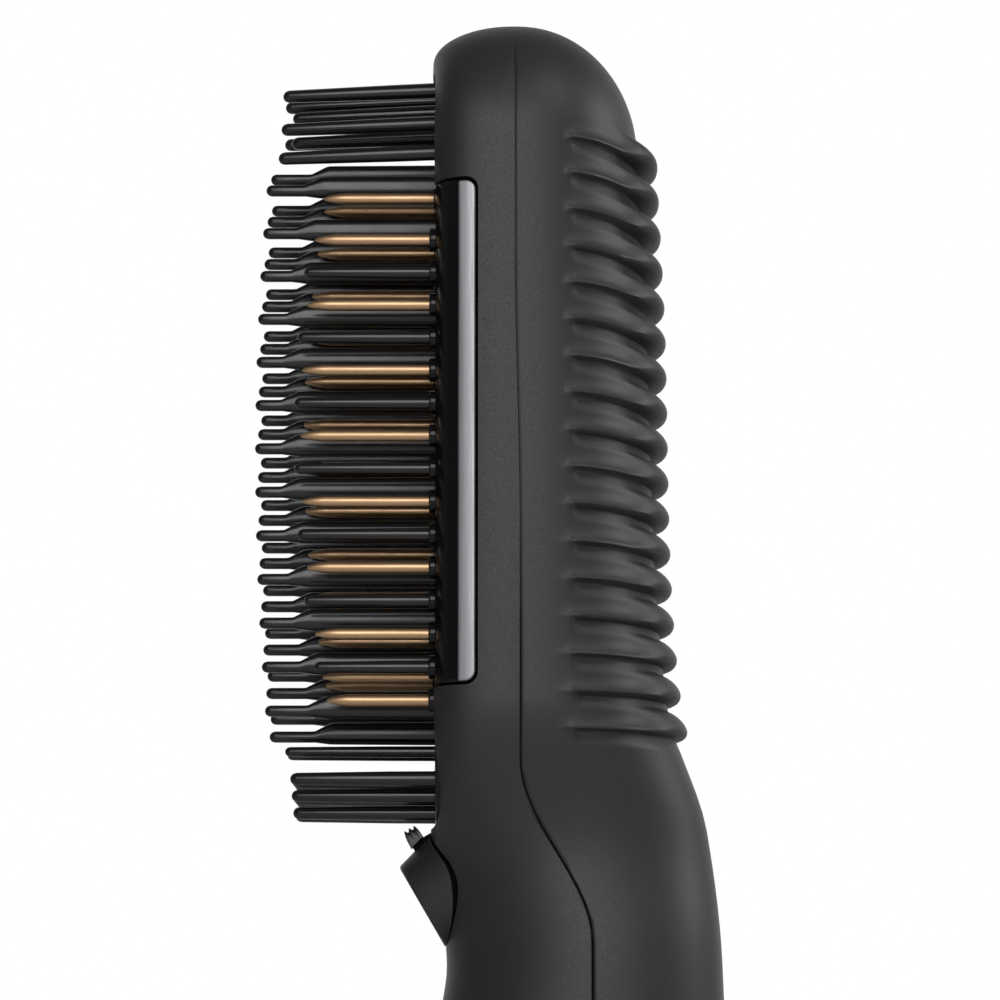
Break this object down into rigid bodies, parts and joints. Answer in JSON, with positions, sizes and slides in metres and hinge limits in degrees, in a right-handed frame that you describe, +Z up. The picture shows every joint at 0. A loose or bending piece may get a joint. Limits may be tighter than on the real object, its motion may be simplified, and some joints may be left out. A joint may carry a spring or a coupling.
{
  "type": "hair straightening brush",
  "caption": "Heated hair straightening brush: ribbed grip head with guard comb, heated teeth, side trims, tilted power button pod and straight grip.",
  "frame": {"origin": "middle of the footprint of the whole brush, at the level of the end cap that it stands on", "axes": "+Z up the grip to the head, pins point to -X, ribbed back towards +X"},
  "size_m": [0.057, 0.036, 0.2694],
  "materials": {
    "shell": "soft-touch matt",
    "gloss_black": "glossy",
    "bronze": "anodised",
    "satin_silver": "satin",
    "amber_film": "glossy film",
    "ceramic": "fired ceramic",
    "brass": "rolled",
    "mica": "sheet",
    "spring_steel": "rolled",
    "tinned_steel": "plated",
    "black_resin": "moulded",
    "button_black": "fine matt",
    "board_green": "solder mask",
    "cap_black": "fine matt",
    "lead_black": "insulated",
    "lead_white": "insulated",
    "lead_red": "insulated"
  },
  "bodies": {
    "brush": {"front_shell": "shell", "rear_shell": "shell", "guard_comb": "gloss_black", "heater_plate": "bronze", "side_trim_near": "satin_silver", "side_trim_far": "satin_silver", "insulation_film": "amber_film", "heating_element_1": "ceramic", "heating_element_2": "ceramic", "heating_element_3": "ceramic", "electrode_strip": "brass", "mica_sheet": "mica", "clamp_spring": "spring_steel", "thermistor": "black_resin", "thermal_fuse": "tinned_steel", "control_pod": "shell", "button_spring": "spring_steel", "switch_board": "board_green", "tact_switch": "tinned_steel", "slide_switch": "black_resin", "control_board": "board_green", "power_module": "black_resin", "capacitor": "amber_film", "power_transistor": "black_resin", "board_screw_1": "tinned_steel", "board_screw_2": "tinned_steel", "end_cap": "cap_black", "retaining_ring": "spring_steel", "grip_screw_1": "tinned_steel", "grip_screw_2": "tinned_steel", "screw_cover_1": "shell", "screw_cover_2": "shell", "head_screw_1": "tinned_steel", "head_screw_2": "tinned_steel", "supply_lead_1": "lead_black", "supply_lead_2": "lead_white", "heater_lead_1": "lead_red", "heater_lead_2": "lead_white"},
    "power_button": {"power_button": "button_black"},
    "heat_slide": {"heat_slide_knob": "button_black"},
    "cord_swivel": {"swivel_collar": "cap_black"}
  },
  "joints": [
    {"name": "power_button_press", "type": "slide", "parent": "brush", "child": "power_button", "axis": [0.8634, 0, 0.5045], "range_m": [0, 0.0008], "stiffness_N_per_m": 400, "springref_m": -0.002},
    {"name": "heat_slide_travel", "type": "slide", "parent": "brush", "child": "heat_slide", "axis": [0.8634, 0, 0.5045], "range_m": [-0.0007, 0.0007]},
    {"name": "cord_swivel", "type": "hinge", "parent": "brush", "child": "cord_swivel", "pos_m": [0.0108, 0, 0.002], "axis": [0, 0, 1], "continuous": true}
  ]
}
